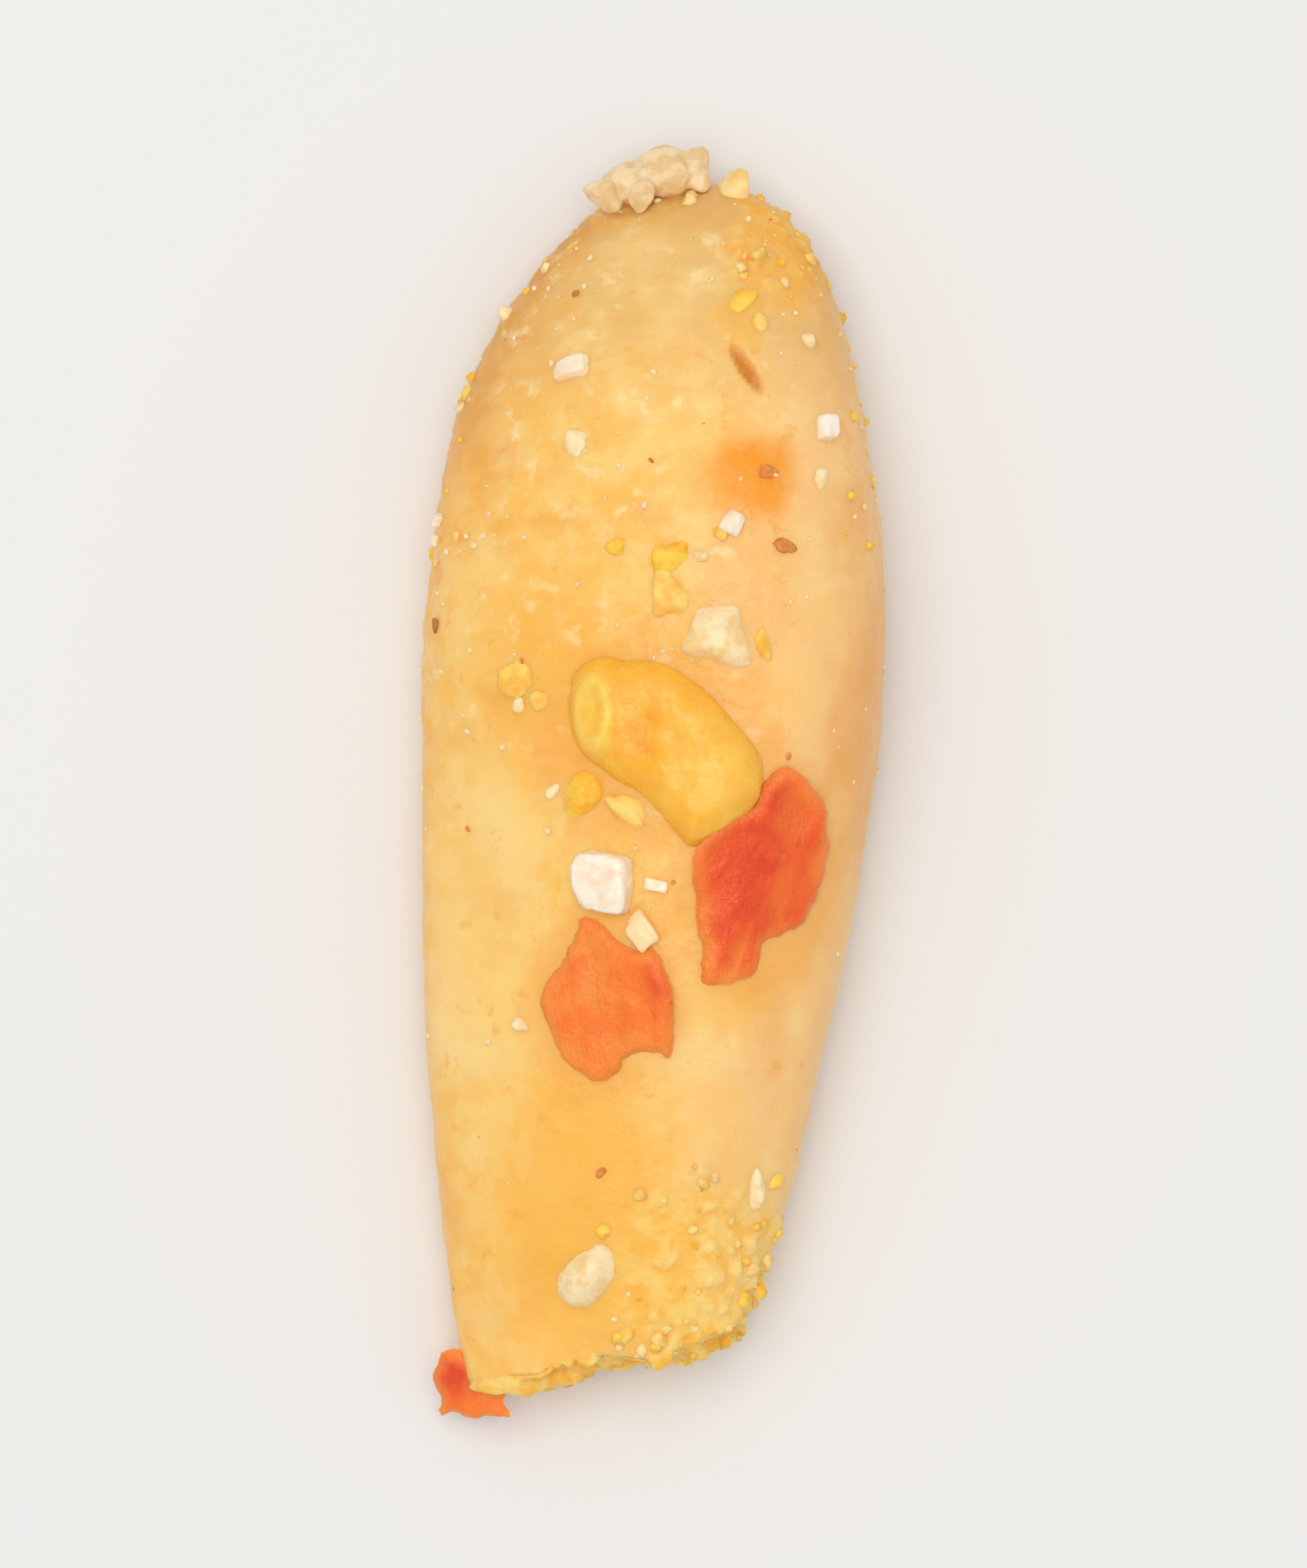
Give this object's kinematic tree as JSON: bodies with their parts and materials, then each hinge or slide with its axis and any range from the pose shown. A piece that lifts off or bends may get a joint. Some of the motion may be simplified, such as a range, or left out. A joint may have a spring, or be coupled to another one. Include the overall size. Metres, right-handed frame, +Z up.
{
  "type": "spicy roasted pili nut",
  "caption": "Slim half of a roasted pili nut kernel, domed, tapering to a blunt tip and snapped off at the other end, seasoned with salt, chilli flakes and crumbs.",
  "frame": {"origin": "on the surface the nut rests on, under the middle of its bounding box", "axes": "+Y along the kernel towards its tip, +Z up out of the domed side, +X across"},
  "size_m": [0.0116, 0.0302, 0.0072],
  "materials": {
    "roasted_kernel": "satin",
    "salt": "satin",
    "seasoning_crumb": "matte",
    "chilli_flake": "satin",
    "chilli_seed": "satin"
  },
  "bodies": {
    "root": {"kernel": "roasted_kernel"}
  },
  "joints": []
}
